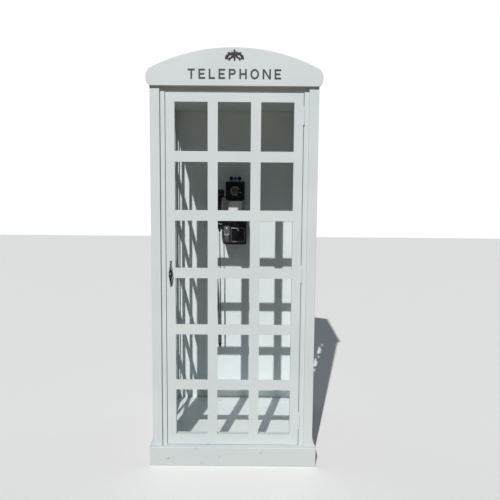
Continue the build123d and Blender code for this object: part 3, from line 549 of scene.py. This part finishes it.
def dial_numbers():
    """Plain numbers 1 to 9 and 0 on the plate, seen through the finger holes, and a ring round the cap."""
    low, high = (Vector(corner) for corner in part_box("number_plate"))
    centre = (low + high) / 2
    reach, first_hole, hole_step = 0.027, 30, 30        # as the wheel's finger holes
    for index in range(10):
        digit = (index + 1) % 10
        turn = radians(first_hole + hole_step * index)
        text = bpy.data.curves.new(f"dial_number_{digit}", "FONT")
        text.body = str(digit)
        text.size = 0.0062
        text.extrude = 0.0001
        text.align_x, text.align_y = "CENTER", "CENTER"
        text.materials.append(black)
        piece = link(text.name, text)
        piece.matrix_world = (Matrix.Translation((centre.x + reach * cos(turn), low.y - 0.0001,
                                                  centre.z + reach * sin(turn)))
                              @ Matrix.Rotation(pi / 2, 4, "X"))
        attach(piece, "booth")
    cap_low, cap_high = (Vector(corner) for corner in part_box("dial_cap"))
    cap = (cap_low + cap_high) / 2
    bm = bmesh.new()
    ring_radius, wire, sunk, steps = 0.0142, 0.0011, 0.0014, 40
    circle = [Vector((cap.x + ring_radius * cos(tau * step / steps), cap_low.y + sunk,
                      cap.z + ring_radius * sin(tau * step / steps))) for step in range(steps)]
    ring_tube(bm, circle, wire)
    bmesh.ops.recalc_face_normals(bm, faces=bm.faces)
    ring = mesh_piece("dial_cap_ring", bm, "dial", brass)


vault_rim()
dial_numbers()


# ---------------------------------------------------------------- finishes on the CAD nodes
grain = {
    "X": ["plinth_boards", "floor_bearers", "threshold", "head_rails", "ceiling_panel",
          "pediment_front", "pediment_back", "roof_ribs", "door_rails", "door_crossbars"],
    "Y": ["plinth_sides", "roof_fascias", "roof_sheet", "side_crossbars"],
    "Z": ["corner_posts", "strike_jamb", "hinge_jamb", "side_frames",
          "side_uprights", "side_beads", "door_stiles", "door_uprights", "door_beads"]}
finishes = {white[axis]: names for axis, names in grain.items()}
finishes.update({
    lit_floor_paint: ["floor_panel"],
    lit_inside_paint: ["back_panel", "door_stops"],
    charcoal: ["pediment_letters"],
    soot: ["pediment_ornament"],
    acrylic: ["side_glazing", "door_glazing"],
    white_metal: ["hinge_frame_leaves", "hinge_door_leaves", "hinge_pins"],
    zinc: ["frame_screws", "door_screws", "catch_plate", "catch_magnet", "cash_box"],
    brass: ["number_plate"],
    aged_brass: ["dial_cap"],
    black: ["finger_wheel", "upper_housing", "card_housing", "lower_housing", "phone_backplate",
            "coin_gauge", "dial_bezel", "vault_door", "hook_lever"],
    bakelite: ["handset_body", "handset_caps", "handset_gland", "housing_gland"],
    chrome: ["vault_lock", "finger_stop"],
    satin: ["coin_return_flap"],
    plated: ["coin_return_chute"],
    card_stock: ["instruction_card"]})
for material, names in finishes.items():
    for name in names:
        mesh_slots = nodes[name].data.materials
        mesh_slots.clear()
        mesh_slots.append(material)

# Eased arrises on the painted timber, and finer ones on the metal cases.
EASED, FINE, SHARPEST_LEFT = 0.0014, 0.0006, 40
eased = [name for names in grain.values() for name in names] + ["floor_panel", "back_panel", "door_stops"]
cases = ["upper_housing", "card_housing", "lower_housing", "vault_door", "coin_gauge", "coin_return_chute"]
for name in eased + cases:
    ease = nodes[name].modifiers.new("eased_edges", "BEVEL")
    ease.width = EASED if name in eased else FINE
    ease.segments = 2
    ease.limit_method = "ANGLE"
    ease.angle_limit = radians(SHARPEST_LEFT)
    ease.use_clamp_overlap = True


# ---------------------------------------------------------------- studio
FLOOR_REACH = 14.0
FLOOR_SEEN = (0.86, 0.86, 0.86)
GROUND = (0.28, 0.25, 0.195)        # what the ground sends back into the booth

floor_mesh = bpy.data.meshes.new("studio_floor")
bm = bmesh.new()
bmesh.ops.create_grid(bm, x_segments=2, y_segments=2, size=FLOOR_REACH)
bm.to_mesh(floor_mesh)
bm.free()
floor = link("studio_floor", floor_mesh)
studio, tree, bsdf = shader("studio_floor", Roughness=0.85)
looked_at = tree.nodes.new("ShaderNodeLightPath").outputs["Is Camera Ray"]
tree.links.new(mix(tree, looked_at, GROUND, FLOOR_SEEN), bsdf.inputs["Base Color"])
floor_mesh.materials.append(studio)

AMBIENT = (0.082, 0.097, 0.116)     # light from all round
world = bpy.data.worlds.new("studio")
scene.world = world
world.use_nodes = True
sky = world.node_tree
seen = sky.nodes.new("ShaderNodeLightPath").outputs["Is Camera Ray"]
sky.links.new(mix(sky, seen, AMBIENT, (1, 1, 1)), sky.nodes["Background"].inputs["Color"])


def sun(name, travel, strength, softness, colour):
    """Sunlight travelling along a direction, with its disc's angle in degrees."""
    light = link(name, bpy.data.lights.new(name, "SUN"))
    light.data.energy = strength
    light.data.angle = radians(softness)
    light.data.color = colour
    light.rotation_euler = Vector(travel).to_track_quat("-Z", "Y").to_euler()


sun("key", (0.203, 1.0, -0.803), 3.60, 0.6, (1.0, 0.985, 0.955))
for name, side in (("fill_left", -1), ("fill_right", 1)):       # soft sky light on the back and sides
    sun(name, (-0.8 * side, -0.7, -0.5), 0.30, 45, (0.93, 0.97, 1.0))
scene.view_settings.view_transform = "Standard"
